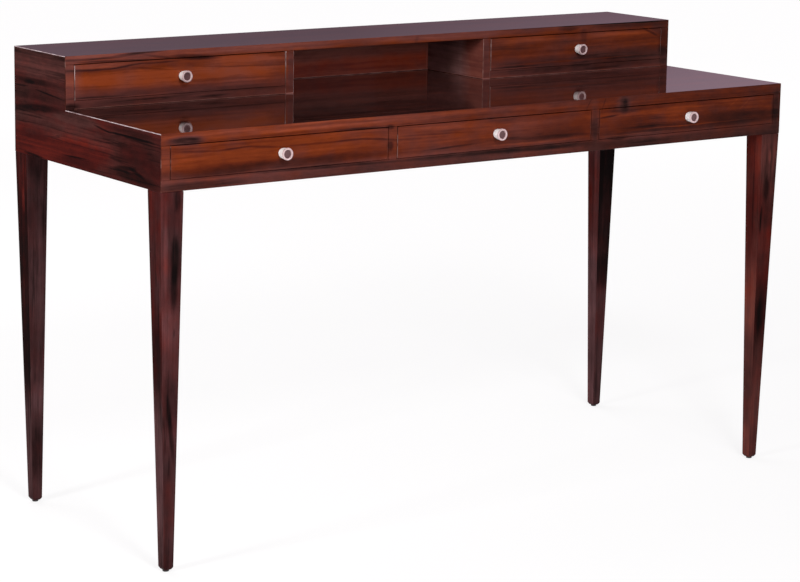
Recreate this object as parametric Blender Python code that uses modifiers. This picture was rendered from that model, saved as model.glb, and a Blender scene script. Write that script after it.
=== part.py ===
"""A writing desk on four tapered legs, with three drawers under its top and a low hutch along its back edge.

Metres, +Z up. The origin is on the floor under the middle of the desk's outline, knobs included.
+X is to the right of someone sitting at the desk, and that person sits on the -Y side.
Every drawer slides straight out along -Y.
"""

import math

import bmesh
import bpy
from mathutils import Matrix, Vector

# Outside of the desk
DESK_WIDTH = 1.400
DESK_DEPTH = 0.530
DESK_HEIGHT = 0.760
CASE_HEIGHT = 0.098
HUTCH_HEIGHT = 0.095
HUTCH_DEPTH = 0.196

# Boards
DESK_TOP_THICKNESS = 0.020
CASE_BOTTOM_THICKNESS = 0.020
SIDE_THICKNESS = 0.018
DIVIDER_THICKNESS = 0.018
BACK_THICKNESS = 0.012
HUTCH_TOP_THICKNESS = 0.015
HUTCH_FLOOR_THICKNESS = 0.015
VENEER_THICKNESS = 0.001
ARRIS = 0.0008

# Legs, their bolts and their glides
LEG_TOP_SIDE = 0.0445
LEG_FOOT_SIDE = 0.0195
LEG_END_SIDE = 0.0124
FOOT_CHAMFER_HEIGHT = 0.0053
LEG_ARRIS = 0.0012
BOLT_RADIUS = 0.004
BOLT_LENGTH_IN_LEG = 0.045
WOOD_OVER_BOLT = 0.006
GLIDE_HEIGHT = 0.0027
GLIDE_RADIUS = 0.0058
GLIDE_ROUNDING = 0.0012
GLIDE_ROUNDING_STEPS = 3
GLIDE_NAIL_RADIUS = 0.0015
GLIDE_NAIL_LENGTH = 0.018

# Drawers
REVEAL = 0.0013
FRONT_THICKNESS = 0.018
DRAWER_SIDE_THICKNESS = 0.010
DRAWER_BACK_THICKNESS = 0.010
DRAWER_BOTTOM_THICKNESS = 0.006
DRAWER_BOTTOM_RISE = 0.008
DRAWER_HEADROOM = 0.010
FRONT_LAP = 0.008
GROOVE_DEPTH = 0.005
BEHIND_DRAWER = 0.004

# Knobs, measured out from the drawer front
KNOB_PROJECTION = 0.0175
KNOB_BASE_RADIUS = 0.0086
KNOB_FRONT_RADIUS = 0.0108
KNOB_RIM_WIDTH = 0.0032
KNOB_RIM_HEIGHT = 0.0022
KNOB_RIM_ROUNDING = 0.0007
KNOB_DISH_DEPTH = 0.0030
KNOB_SCREW_RADIUS = 0.0020
WOOD_BEHIND_SCREW = 0.0050

# Gap that stands for a glue line or a sliding fit
GAP = 0.0003

# Roundness of the turned pieces, and how close points on their axis are welded
TURNED_STEPS = 24
BORE_SIDES = 16
WELD_DISTANCE = 0.00001

# Levels and planes that the boards share
CASE_BASE_Z = DESK_HEIGHT - CASE_HEIGHT
CASE_FLOOR_Z = CASE_BASE_Z + CASE_BOTTOM_THICKNESS
CASE_CEILING_Z = DESK_HEIGHT - DESK_TOP_THICKNESS
HUTCH_TOP_Z = DESK_HEIGHT + HUTCH_HEIGHT
HUTCH_CEILING_Z = HUTCH_TOP_Z - HUTCH_TOP_THICKNESS
HUTCH_FLOOR_Z = DESK_HEIGHT + HUTCH_FLOOR_THICKNESS
FRONT_Y = (KNOB_PROJECTION - DESK_DEPTH) / 2
REAR_Y = FRONT_Y + DESK_DEPTH
BACK_Y = REAR_Y - BACK_THICKNESS
HUTCH_FRONT_Y = REAR_Y - HUTCH_DEPTH
OUTER_X = DESK_WIDTH / 2
CORE_X = OUTER_X - VENEER_THICKNESS - GAP
INNER_X = OUTER_X - SIDE_THICKNESS
BAY_WIDTH = (2 * INNER_X - 2 * DIVIDER_THICKNESS) / 3
DIVIDER_X = BAY_WIDTH / 2 + DIVIDER_THICKNESS / 2

# How far a knob's screw goes into the drawer front
KNOB_SCREW_LENGTH = FRONT_THICKNESS - WOOD_BEHIND_SCREW

# Finishes: name, linear colour, roughness and metallic value
ROSEWOOD = ("rosewood_veneer", (0.130, 0.030, 0.014, 1.0), 0.12, 0.0)
LINING = ("drawer_lining", (0.420, 0.270, 0.150, 1.0), 0.55, 0.0)
NICKEL = ("polished_nickel", (0.720, 0.680, 0.640, 1.0), 0.15, 1.0)
STEEL = ("bolt_steel", (0.420, 0.420, 0.430, 1.0), 0.40, 1.0)
PLASTIC = ("glide_plastic", (0.018, 0.017, 0.017, 1.0), 0.45, 0.0)


def clear_scene():
    """Removes what the new file starts with."""
    for thing in list(bpy.data.objects):
        bpy.data.objects.remove(thing, do_unlink=True)


def new_collection(name):
    """A collection under the scene's own."""
    collection = bpy.data.collections.new(name)
    bpy.context.scene.collection.children.link(collection)
    return collection


def finish(name, colour, roughness, metallic):
    """A plain surface finish."""
    material = bpy.data.materials.new(name)
    material.use_nodes = True
    shader = material.node_tree.nodes["Principled BSDF"]
    shader.inputs["Base Color"].default_value = colour
    shader.inputs["Roughness"].default_value = roughness
    shader.inputs["Metallic"].default_value = metallic
    return material


def new_empty(name, point, parent=None):
    """A frame that pieces hang from."""
    empty = bpy.data.objects.new(name, None)
    desk_parts.objects.link(empty)
    empty.parent = parent
    empty.location = point
    return empty


def as_object(name, shape, point, parent, material):
    """Turns a bmesh into a named piece, whose own origin sits at a point of the room."""
    mesh = bpy.data.meshes.new(name)
    shape.to_mesh(mesh)
    shape.free()
    mesh.materials.append(material)
    piece = bpy.data.objects.new(name, mesh)
    desk_parts.objects.link(piece)
    piece.parent = parent
    piece.location = Vector(point) - parent.location
    return piece


def as_cutter(piece):
    """Makes a piece a tool that only takes wood away."""
    desk_parts.objects.unlink(piece)
    cutters.objects.link(piece)
    piece.hide_render = True
    piece.display_type = "WIRE"
    return piece


def soften(piece, width):
    """Takes the sharp arris off the edges of a piece."""
    bevel = piece.modifiers.new("arris", "BEVEL")
    bevel.width = width
    bevel.segments = 1
    bevel.limit_method = "ANGLE"


def cut(piece, cutter):
    """Takes a cutter's shape out of a piece."""
    boolean = piece.modifiers.new(cutter.name, "BOOLEAN")
    boolean.operation = "DIFFERENCE"
    boolean.solver = "EXACT"
    boolean.object = cutter


def board(name, low, high, material, parent, arris=0.0):
    """A rectangular board between two corners."""
    low = Vector(low)
    high = Vector(high)
    shape = bmesh.new()
    bmesh.ops.create_cube(shape, size=1.0)
    bmesh.ops.scale(shape, vec=high - low, verts=shape.verts)
    piece = as_object(name, shape, (low + high) / 2, parent, material)
    if arris > 0.0:
        soften(piece, arris)
    return piece


def recess_for(piece, parent):
    """A cutter that leaves the glue gap all round a rectangular board."""
    half = Vector(piece.dimensions) / 2 + Vector((GAP, GAP, GAP))
    middle = piece.location + parent.location
    cutter = board(piece.name + "_recess", middle - half, middle + half, piece.data.materials[0], parent)
    return as_cutter(cutter)


def rod(name, start, axis_angle, radius, length, material, parent):
    """A round rod from its start point, standing along +Z, or along -Y after a quarter turn."""
    shape = bmesh.new()
    bmesh.ops.create_cone(
        shape, cap_ends=True, segments=BORE_SIDES, radius1=radius, radius2=radius, depth=length
    )
    bmesh.ops.translate(shape, vec=(0.0, 0.0, length / 2), verts=shape.verts)
    piece = as_object(name, shape, start, parent, material)
    piece.rotation_euler.x = axis_angle
    return piece


def turned(name, profile, point, axis_angle, material, parent):
    """A turned piece. Its profile is (radius, height) pairs that run from the top down to the bottom."""
    shape = bmesh.new()
    ring = [shape.verts.new((radius, 0.0, height)) for radius, height in profile]
    for upper, lower in zip(ring, ring[1:]):
        shape.edges.new((upper, lower))
    piece = as_object(name, shape, point, parent, material)
    piece.rotation_euler.x = axis_angle
    screw = piece.modifiers.new("turning", "SCREW")
    screw.axis = "Z"
    screw.angle = math.tau
    screw.steps = TURNED_STEPS
    screw.render_steps = TURNED_STEPS
    screw.use_merge_vertices = True
    screw.merge_threshold = WELD_DISTANCE
    return piece


def build_case(parent):
    """The shallow box that holds the three drawers, closed by the desk top."""
    board(
        "desk_top",
        (-CORE_X, FRONT_Y, CASE_CEILING_Z),
        (CORE_X, REAR_Y, DESK_HEIGHT),
        rosewood,
        parent,
        ARRIS,
    )
    bottom = board(
        "case_bottom",
        (-CORE_X, FRONT_Y, CASE_BASE_Z),
        (CORE_X, REAR_Y, CASE_FLOOR_Z),
        rosewood,
        parent,
        ARRIS,
    )
    low_z = CASE_FLOOR_Z + GAP
    high_z = CASE_CEILING_Z - GAP
    board(
        "case_back",
        (-INNER_X + GAP, BACK_Y, low_z),
        (INNER_X - GAP, REAR_Y, high_z),
        rosewood,
        parent,
    )
    for side, sign in (("left", -1), ("right", 1)):
        side_x = sorted((sign * INNER_X, sign * CORE_X))
        board(
            f"case_side_{side}",
            (side_x[0], FRONT_Y, low_z),
            (side_x[1], REAR_Y, high_z),
            rosewood,
            parent,
            ARRIS,
        )
        divider_x = sign * DIVIDER_X
        board(
            f"case_divider_{side}",
            (divider_x - DIVIDER_THICKNESS / 2, FRONT_Y, low_z),
            (divider_x + DIVIDER_THICKNESS / 2, BACK_Y - GAP, high_z),
            rosewood,
            parent,
            ARRIS,
        )
    return bottom


def build_hutch(parent):
    """The low hutch along the back edge: a drawer at each end and an open niche between them."""
    low_z = DESK_HEIGHT + GAP
    high_z = HUTCH_CEILING_Z - GAP
    board(
        "hutch_top",
        (-CORE_X, HUTCH_FRONT_Y, HUTCH_CEILING_Z),
        (CORE_X, REAR_Y, HUTCH_TOP_Z),
        rosewood,
        parent,
        ARRIS,
    )
    board(
        "hutch_back",
        (-INNER_X + GAP, BACK_Y, low_z),
        (INNER_X - GAP, REAR_Y, high_z),
        rosewood,
        parent,
    )
    for side, sign in (("left", -1), ("right", 1)):
        side_x = sorted((sign * INNER_X, sign * CORE_X))
        board(
            f"hutch_side_{side}",
            (side_x[0], HUTCH_FRONT_Y, low_z),
            (side_x[1], REAR_Y, high_z),
            rosewood,
            parent,
            ARRIS,
        )
        divider_x = sign * DIVIDER_X
        board(
            f"hutch_divider_{side}",
            (divider_x - DIVIDER_THICKNESS / 2, HUTCH_FRONT_Y, low_z),
            (divider_x + DIVIDER_THICKNESS / 2, BACK_Y - GAP, high_z),
            rosewood,
            parent,
            ARRIS,
        )
        floor_x = sorted((sign * (INNER_X - GAP), sign * (DIVIDER_X + DIVIDER_THICKNESS / 2 + GAP)))
        board(
            f"hutch_floor_{side}",
            (floor_x[0], HUTCH_FRONT_Y, low_z),
            (floor_x[1], BACK_Y - GAP, HUTCH_FLOOR_Z),
            rosewood,
            parent,
            ARRIS,
        )


def build_side_veneers(parent):
    """One leaf of veneer over each whole side, case and hutch together."""
    for side, sign in (("left", -1), ("right", 1)):
        leaf_x = sorted((sign * (OUTER_X - VENEER_THICKNESS), sign * OUTER_X))
        leaf = board(
            f"side_veneer_{side}",
            (leaf_x[0], FRONT_Y, CASE_BASE_Z),
            (leaf_x[1], REAR_Y, HUTCH_TOP_Z),
            rosewood,
            parent,
        )
        step = board(
            f"veneer_step_{side}",
            (leaf_x[0] - VENEER_THICKNESS, FRONT_Y - HUTCH_DEPTH, DESK_HEIGHT),
            (leaf_x[1] + VENEER_THICKNESS, HUTCH_FRONT_Y, HUTCH_TOP_Z + HUTCH_HEIGHT),
            rosewood,
            parent,
        )
        cut(leaf, as_cutter(step))


def glide_profile():
    """Half outline of a nail-on glide: its nail, its shoulder and its rounded pad."""
    pad_top = GLIDE_HEIGHT
    flat = GLIDE_RADIUS - GLIDE_ROUNDING
    turns = [math.pi / 2 * step / GLIDE_ROUNDING_STEPS for step in range(GLIDE_ROUNDING_STEPS + 1)]
    corner = [
        (flat + GLIDE_ROUNDING * math.cos(turn), GLIDE_ROUNDING * (1 - math.sin(turn)))
        for turn in turns
    ]
    return [
        (0.0, pad_top + GLIDE_NAIL_LENGTH),
        (GLIDE_NAIL_RADIUS, pad_top + GLIDE_NAIL_LENGTH),
        (GLIDE_NAIL_RADIUS, pad_top),
        (GLIDE_RADIUS, pad_top),
        *corner,
        (0.0, 0.0),
    ]


def build_leg(corner, x, y, case_bottom, parent):
    """A square, tapered leg with a chamfered foot, the bolt in its top and the glide under its foot."""
    foot_z = GLIDE_HEIGHT + GAP + FOOT_CHAMFER_HEIGHT
    top_z = CASE_BASE_Z - GAP
    shape = bmesh.new()
    bmesh.ops.create_cone(
        shape,
        cap_ends=True,
        segments=4,
        radius1=LEG_FOOT_SIDE / math.sqrt(2),
        radius2=LEG_TOP_SIDE / math.sqrt(2),
        depth=top_z - foot_z,
    )
    quarter = Matrix.Rotation(math.pi / 4, 3, "Z")
    bmesh.ops.rotate(shape, cent=(0.0, 0.0, 0.0), matrix=quarter, verts=shape.verts)
    sole = min(shape.faces, key=lambda face: face.calc_center_median().z)
    grown = bmesh.ops.extrude_face_region(shape, geom=[sole])
    end = [part for part in grown["geom"] if isinstance(part, bmesh.types.BMVert)]
    narrowing = LEG_END_SIDE / LEG_FOOT_SIDE
    bmesh.ops.scale(shape, vec=(narrowing, narrowing, 1.0), verts=end)
    bmesh.ops.translate(shape, vec=(0.0, 0.0, -FOOT_CHAMFER_HEIGHT), verts=end)
    if sole.is_valid:
        bmesh.ops.delete(shape, geom=[sole], context="FACES_ONLY")
    leg = as_object(f"leg_{corner}", shape, (x, y, (foot_z + top_z) / 2), parent, rosewood)
    soften(leg, LEG_ARRIS)

    bolt_low = top_z - BOLT_LENGTH_IN_LEG
    bolt_high = CASE_FLOOR_Z - WOOD_OVER_BOLT
    bolt_length = bolt_high - bolt_low
    rod(f"leg_bolt_{corner}", (x, y, bolt_low), 0.0, BOLT_RADIUS, bolt_length, steel, parent)
    bolt_hole = rod(
        f"bolt_hole_{corner}",
        (x, y, bolt_low - GAP),
        0.0,
        BOLT_RADIUS + GAP,
        bolt_length + 2 * GAP,
        steel,
        parent,
    )
    as_cutter(bolt_hole)
    cut(leg, bolt_hole)
    cut(case_bottom, bolt_hole)

    turned(f"glide_{corner}", glide_profile(), (x, y, 0.0), 0.0, plastic, parent)
    nail_hole = rod(
        f"nail_hole_{corner}",
        (x, y, GLIDE_HEIGHT - GAP),
        0.0,
        GLIDE_NAIL_RADIUS + GAP,
        GLIDE_NAIL_LENGTH + 2 * GAP,
        plastic,
        parent,
    )
    cut(leg, as_cutter(nail_hole))


def build_legs(case_bottom, parent):
    """Four legs, flush with the outer corners of the case."""
    leg_x = OUTER_X - LEG_TOP_SIDE / 2
    leg_y = {"front": FRONT_Y + LEG_TOP_SIDE / 2, "back": REAR_Y - LEG_TOP_SIDE / 2}
    for end, y in leg_y.items():
        for side, sign in (("left", -1), ("right", 1)):
            build_leg(f"{end}_{side}", sign * leg_x, y, case_bottom, parent)


def knob_profile():
    """Half outline of a knob: dished front, bright rim, cone to its base and wood screw."""
    rim_low = KNOB_PROJECTION - KNOB_RIM_HEIGHT
    dish_radius = KNOB_FRONT_RADIUS - KNOB_RIM_WIDTH
    return [
        (0.0, KNOB_PROJECTION - KNOB_DISH_DEPTH),
        (dish_radius - KNOB_RIM_ROUNDING, KNOB_PROJECTION - KNOB_DISH_DEPTH),
        (dish_radius, KNOB_PROJECTION - KNOB_RIM_ROUNDING),
        (dish_radius + KNOB_RIM_ROUNDING, KNOB_PROJECTION),
        (KNOB_FRONT_RADIUS - KNOB_RIM_ROUNDING, KNOB_PROJECTION),
        (KNOB_FRONT_RADIUS, KNOB_PROJECTION - KNOB_RIM_ROUNDING),
        (KNOB_FRONT_RADIUS, rim_low),
        (KNOB_BASE_RADIUS, GAP),
        (KNOB_SCREW_RADIUS, GAP),
        (KNOB_SCREW_RADIUS, -KNOB_SCREW_LENGTH),
        (0.0, -KNOB_SCREW_LENGTH),
    ]


def build_drawer(name, bay_x, front_y, floor_z, ceiling_z, parent):
    """A drawer that fills its bay: lapped front, grooved sides, loose bottom, back and knob."""
    left_x = bay_x - BAY_WIDTH / 2 + REVEAL
    right_x = bay_x + BAY_WIDTH / 2 - REVEAL
    front_low_z = floor_z + REVEAL
    front_high_z = ceiling_z - REVEAL
    knob_z = (front_low_z + front_high_z) / 2
    slide = new_empty(f"{name}_slide", (bay_x, front_y, knob_z), parent)

    front_back_y = front_y + FRONT_THICKNESS
    front = board(
        f"{name}_front",
        (left_x, front_y, front_low_z),
        (right_x, front_back_y, front_high_z),
        rosewood,
        slide,
        ARRIS,
    )
    side_low_z = floor_z + GAP
    side_high_z = ceiling_z - DRAWER_HEADROOM
    side_front_y = front_back_y - FRONT_LAP + GAP
    end_y = BACK_Y - BEHIND_DRAWER
    inner_left_x = left_x + DRAWER_SIDE_THICKNESS
    inner_right_x = right_x - DRAWER_SIDE_THICKNESS
    sides = [
        board(
            f"{name}_side_left",
            (left_x, side_front_y, side_low_z),
            (inner_left_x, end_y, side_high_z),
            lining,
            slide,
        ),
        board(
            f"{name}_side_right",
            (inner_right_x, side_front_y, side_low_z),
            (right_x, end_y, side_high_z),
            lining,
            slide,
        ),
    ]
    bottom_low_z = floor_z + DRAWER_BOTTOM_RISE
    bottom_high_z = bottom_low_z + DRAWER_BOTTOM_THICKNESS
    reach = GROOVE_DEPTH - GAP
    bottom = board(
        f"{name}_bottom",
        (inner_left_x - reach, front_back_y - reach, bottom_low_z),
        (inner_right_x + reach, end_y, bottom_high_z),
        lining,
        slide,
    )
    board(
        f"{name}_back",
        (inner_left_x + GAP, end_y - DRAWER_BACK_THICKNESS, bottom_high_z + GAP),
        (inner_right_x - GAP, end_y, side_high_z),
        lining,
        slide,
    )
    bpy.context.view_layer.update()
    groove = recess_for(bottom, slide)
    cut(front, groove)
    for side in sides:
        cut(side, groove)
        cut(front, recess_for(side, slide))

    turned(f"{name}_knob", knob_profile(), (bay_x, front_y, knob_z), math.pi / 2, nickel, slide)
    screw_hole = rod(
        f"{name}_screw_hole",
        (bay_x, front_y + KNOB_SCREW_LENGTH + GAP, knob_z),
        math.pi / 2,
        KNOB_SCREW_RADIUS + GAP,
        KNOB_SCREW_LENGTH + 2 * GAP,
        nickel,
        slide,
    )
    cut(front, as_cutter(screw_hole))


def build_drawers(parent):
    """Three drawers under the desk top and one at each end of the hutch."""
    bay_step = BAY_WIDTH + DIVIDER_THICKNESS
    for name, bay in (("left_drawer", -1), ("middle_drawer", 0), ("right_drawer", 1)):
        build_drawer(name, bay * bay_step, FRONT_Y, CASE_FLOOR_Z, CASE_CEILING_Z, parent)
    for name, bay in (("hutch_left_drawer", -1), ("hutch_right_drawer", 1)):
        build_drawer(name, bay * bay_step, HUTCH_FRONT_Y, HUTCH_FLOOR_Z, HUTCH_CEILING_Z, parent)


clear_scene()
desk_parts = new_collection("writing_desk")
cutters = new_collection("cutters")

rosewood = finish(*ROSEWOOD)
lining = finish(*LINING)
nickel = finish(*NICKEL)
steel = finish(*STEEL)
plastic = finish(*PLASTIC)

desk = new_empty("desk_frame", (0.0, 0.0, 0.0))
build_legs(build_case(desk), desk)
build_hutch(desk)
build_side_veneers(desk)
build_drawers(desk)
bpy.context.view_layer.update()
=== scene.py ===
# %% [markdown]
# A writing desk in dark, glossy rosewood veneer. It stands on four tapered legs, three drawers sit under
# its top, and a low hutch with two more drawers and an open niche runs along the back edge. The packed
# CAD model comes in first and is never moved. Everything below is modelled around it, in metres, so a new
# piece goes exactly where the CAD piece of the same name already is.

import math

import bmesh
import bpy
from mathutils import Matrix, Vector


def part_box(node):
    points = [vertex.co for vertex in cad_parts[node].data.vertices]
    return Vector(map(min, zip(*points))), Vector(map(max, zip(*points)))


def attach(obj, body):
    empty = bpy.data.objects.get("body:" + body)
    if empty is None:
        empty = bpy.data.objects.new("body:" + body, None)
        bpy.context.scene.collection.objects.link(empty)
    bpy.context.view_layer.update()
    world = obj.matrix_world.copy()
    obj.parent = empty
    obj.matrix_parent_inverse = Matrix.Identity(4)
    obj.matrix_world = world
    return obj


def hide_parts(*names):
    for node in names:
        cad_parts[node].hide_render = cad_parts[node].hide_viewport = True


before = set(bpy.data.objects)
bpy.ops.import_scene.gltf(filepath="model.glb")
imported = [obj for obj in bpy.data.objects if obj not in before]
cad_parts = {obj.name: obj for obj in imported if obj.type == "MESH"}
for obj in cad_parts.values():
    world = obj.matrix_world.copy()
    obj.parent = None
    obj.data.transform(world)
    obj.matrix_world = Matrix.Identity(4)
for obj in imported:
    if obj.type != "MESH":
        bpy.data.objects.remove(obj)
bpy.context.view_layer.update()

# %% [markdown]
# The camera stands in front of the left end of the desk, a little above the hutch, and looks down at it.
# Its place, its turn and its long lens were worked out from the corners of the desk in the photograph. A
# camera looks along its own -Z, so the matrix is built from its right, up and backward directions. The
# photograph is cut out of a larger picture, which is what the small lens shift stands for.

# %% Camera
CAMERA_PLACE = Vector((-2.7267, -3.7612, 1.3541))
CAMERA_YAW = math.radians(33.978)
CAMERA_PITCH = math.radians(10.175)
CAMERA_ROLL = math.radians(0.654)
SENSOR_WIDTH = 36.0
LENS = 111.488
LENS_SHIFT = (0.08915, -0.09559)
FARTHEST_SEEN = 200.0


def camera_matrix():
    """The camera's place and turn, from its yaw, its downward pitch and its roll."""
    forward = Vector((math.sin(CAMERA_YAW), math.cos(CAMERA_YAW), 0.0)) * math.cos(CAMERA_PITCH)
    forward.z = -math.sin(CAMERA_PITCH)
    level = Vector((math.cos(CAMERA_YAW), -math.sin(CAMERA_YAW), 0.0))
    upward = level.cross(forward)
    right = level * math.cos(CAMERA_ROLL) + upward * math.sin(CAMERA_ROLL)
    up = upward * math.cos(CAMERA_ROLL) - level * math.sin(CAMERA_ROLL)
    turn = Matrix((right, up, -forward)).transposed()
    return Matrix.Translation(CAMERA_PLACE) @ turn.to_4x4()


camera = bpy.data.objects.new("photo_camera", bpy.data.cameras.new("photo_camera"))
bpy.context.scene.collection.objects.link(camera)
camera.matrix_world = camera_matrix()
camera.data.sensor_width = SENSOR_WIDTH
camera.data.lens = LENS
camera.data.shift_x, camera.data.shift_y = LENS_SHIFT
camera.data.clip_end = FARTHEST_SEEN
bpy.context.scene.camera = camera
bpy.context.scene.view_settings.view_transform = "Standard"
print("camera at", [round(value, 3) for value in camera.location], "with a lens of", LENS, "mm")

# %% [markdown]
# A material in Blender is a small network of nodes. One helper adds a node, sets its values and plugs
# other nodes into it: a value that is a socket becomes a link, and any other value is typed into the
# socket. The others do a step of arithmetic, carry a value from one range to another, and turn a value
# into a colour. With them, each line below reads as one step of a finish.

# %% Node helpers
def add_node(tree, kind, values=None, **settings):
    """A new node. Its values are numbers, colours or sockets, keyed by the name or place of an input."""
    node = tree.nodes.new(kind)
    for name, setting in settings.items():
        setattr(node, name, setting)
    for socket, value in (values or {}).items():
        if isinstance(value, bpy.types.NodeSocket):
            tree.links.new(value, node.inputs[socket])
        else:
            node.inputs[socket].default_value = value
    return node


def sums(tree, operation, first, second, clamp=False):
    """One step of arithmetic between two values or sockets."""
    node = add_node(tree, "ShaderNodeMath", {0: first, 1: second}, operation=operation, use_clamp=clamp)
    return node.outputs[0]


def remap(tree, value, old=(0.0, 1.0), new=(0.0, 1.0), smooth=False):
    """Carries a value from an old range over to a new one, and holds it at both ends."""
    node = add_node(
        tree,
        "ShaderNodeMapRange",
        {"Value": value, "From Min": old[0], "From Max": old[1], "To Min": new[0], "To Max": new[1]},
        interpolation_type="SMOOTHSTEP" if smooth else "LINEAR",
    )
    return node.outputs[0]


def colour_row(tree, value, colours):
    """A colour for each value from 0 to 1, blended between the (value, colour) steps of a row."""
    row = add_node(tree, "ShaderNodeValToRGB", {0: value})
    steps = row.color_ramp
    for step, (position, colour) in zip(steps.elements, (colours[0], colours[-1])):
        step.position = position
        step.color = (*colour, 1.0)
    for position, colour in colours[1:-1]:
        steps.elements.new(position).color = (*colour, 1.0)
    return row.outputs[0]


print("node helpers ready")

# %% [markdown]
# The floor is a plain pale sheet. For light that bounces off it, it is an ordinary pale surface. For rays
# from the camera, and for mirror images in the metal and lacquer, most of it glows at just under white,
# so that the background stays clean and only a soft trace of the desk's shadow is left. Far from the desk
# less lamp light reaches it, so it glows a little more there and the sheet stays even.

# %% Floor
FLOOR_RADIUS = 70.0
FLOOR_SHADES = (0.88, 0.92)
SHADOW_SHADE = (0.24, 0.24, 0.24, 1.0)
WHITE = (1.0, 1.0, 1.0, 1.0)
GLOW_DISTANCES = (1.4, 5.0)
GLOW_STRENGTHS = (0.79, 0.91)


def pale_floor():
    """Pale floor that looks nearly white and still takes a soft shadow."""
    material = bpy.data.materials.new("pale_floor")
    material.use_nodes = True
    tree = material.node_tree
    tree.nodes.clear()
    path = add_node(tree, "ShaderNodeLightPath")
    seen = sums(tree, "MAXIMUM", path.outputs["Is Camera Ray"], path.outputs["Is Glossy Ray"])
    seen = sums(tree, "MAXIMUM", seen, path.outputs["Is Transmission Ray"])
    place = add_node(tree, "ShaderNodeTexCoord").outputs["Object"]
    fibre = add_node(tree, "ShaderNodeTexNoise", {"Vector": place, "Scale": 3.0})
    shade = remap(tree, fibre.outputs["Fac"], new=FLOOR_SHADES)
    bounce = add_node(tree, "ShaderNodeBsdfDiffuse", {"Color": shade})
    shadow = add_node(tree, "ShaderNodeBsdfDiffuse", {"Color": SHADOW_SHADE})
    away = add_node(tree, "ShaderNodeVectorMath", {0: place}, operation="LENGTH")
    strength = remap(tree, away.outputs["Value"], GLOW_DISTANCES, GLOW_STRENGTHS)
    glow = add_node(tree, "ShaderNodeEmission", {"Color": WHITE, "Strength": strength})
    white = add_node(tree, "ShaderNodeAddShader", {0: glow.outputs[0], 1: shadow.outputs[0]})
    both = add_node(tree, "ShaderNodeMixShader", {0: seen, 1: bounce.outputs[0], 2: white.outputs[0]})
    add_node(tree, "ShaderNodeOutputMaterial", {"Surface": both.outputs[0]})
    return material


floor_shape = bmesh.new()
bmesh.ops.create_circle(floor_shape, cap_ends=True, segments=64, radius=FLOOR_RADIUS)
floor_mesh = bpy.data.meshes.new("floor")
floor_shape.to_mesh(floor_mesh)
floor_shape.free()
floor_mesh.materials.append(pale_floor())
floor = bpy.data.objects.new("floor", floor_mesh)
bpy.context.scene.collection.objects.link(floor)
print("floor", FLOOR_RADIUS * 2, "m across")

# %% [markdown]
# The room is a dim, slightly purple grey that brightens above the horizon and towards the right. That is
# what the polished tops mirror at a low angle. World shading reads the direction of a ray, which Blender
# gives as the world's own Generated coordinate: its Z is the sine of the height above the horizon.

# %% Room light
ROOM_COLOURS = (
    (0.085, (0.185, 0.118, 0.150)),
    (0.180, (0.556, 0.418, 0.528)),
    (0.450, (0.600, 0.530, 0.570)),
    (0.900, (0.360, 0.340, 0.350)),
)
RIGHT_SIDE = (0.56, 0.70)
ROOM_STRENGTHS = (0.64, 1.27)


def room_light():
    """Dim horizon, paler above it, a little brighter to the right."""
    world = bpy.data.worlds.new("studio_room")
    world.use_nodes = True
    tree = world.node_tree
    tree.nodes.clear()
    direction = add_node(tree, "ShaderNodeTexCoord").outputs["Generated"]
    parts = add_node(tree, "ShaderNodeSeparateXYZ", {0: direction})
    colour = colour_row(tree, parts.outputs["Z"], ROOM_COLOURS)
    strength = remap(tree, parts.outputs["X"], RIGHT_SIDE, ROOM_STRENGTHS)
    background = add_node(tree, "ShaderNodeBackground", {"Color": colour, "Strength": strength})
    add_node(tree, "ShaderNodeOutputWorld", {"Surface": background.outputs[0]})
    bpy.context.scene.world = world


room_light()
print("room light set")

# %% [markdown]
# Four soft boxes light the desk. A broad key stands straight in front of it, and a small one higher up
# drops a short shadow below each knob. One at the left lights the side and the open niche, and a wide one
# above and behind the desk lights the tops and their edges. None of them shows in the polish, where it
# would lie as a pale patch over the wood. An area lamp shines along its own -Z, so it is turned to look
# at a point of the desk.

# %% Soft boxes
def soft_box(name, place, aim, width, height, power):
    """A rectangular lamp that faces a point, and that polished wood doesn't mirror."""
    lamp = bpy.data.lights.new(name, "AREA")
    lamp.shape = "RECTANGLE"
    lamp.size = width
    lamp.size_y = height
    lamp.energy = power
    box = bpy.data.objects.new(name, lamp)
    bpy.context.scene.collection.objects.link(box)
    turn = (Vector(aim) - Vector(place)).to_track_quat("-Z", "Y")
    box.matrix_world = Matrix.Translation(place) @ turn.to_matrix().to_4x4()
    box.visible_camera = False
    box.visible_glossy = False
    print(name, power, "W")


soft_box("key_box", place=(-0.7, -4.3, 1.6), aim=(-0.1, 0.0, 0.72), width=1.4, height=1.0, power=67.0)
soft_box("high_box", place=(-1.0, -3.0, 2.7), aim=(-0.1, 0.0, 0.75), width=0.6, height=0.6, power=45.0)
soft_box("left_box", place=(-4.0, -0.62, 1.4), aim=(-0.5, 0.1, 0.75), width=0.6, height=0.8, power=79.0)
soft_box("back_box", place=(-0.4, 2.6, 2.7), aim=(0.0, 0.1, 0.8), width=3.2, height=1.4, power=45.0)

# %% [markdown]
# Rosewood is streaked: black lines run along the grain, broad bands go from orange to grey-brown, and
# fine pores show close up. All of it is noise that is stretched along the grain, so the first step is a
# set of coordinates with X along the grain. Every piece sits at the origin, so Object coordinates are the
# desk's own, and the figure runs on from one board to the next as in a matched veneer.

# %% Grain coordinates
GRAIN_ORDER = {
    "along_x": ("X", "Z", "Y"),
    "along_y": ("Y", "Z", "X"),
    "along_z": ("Z", "X", "Y"),
    "up_side": ("Z", "Y", "X"),
    "flat": ("X", "Y", "Z"),
}


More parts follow.
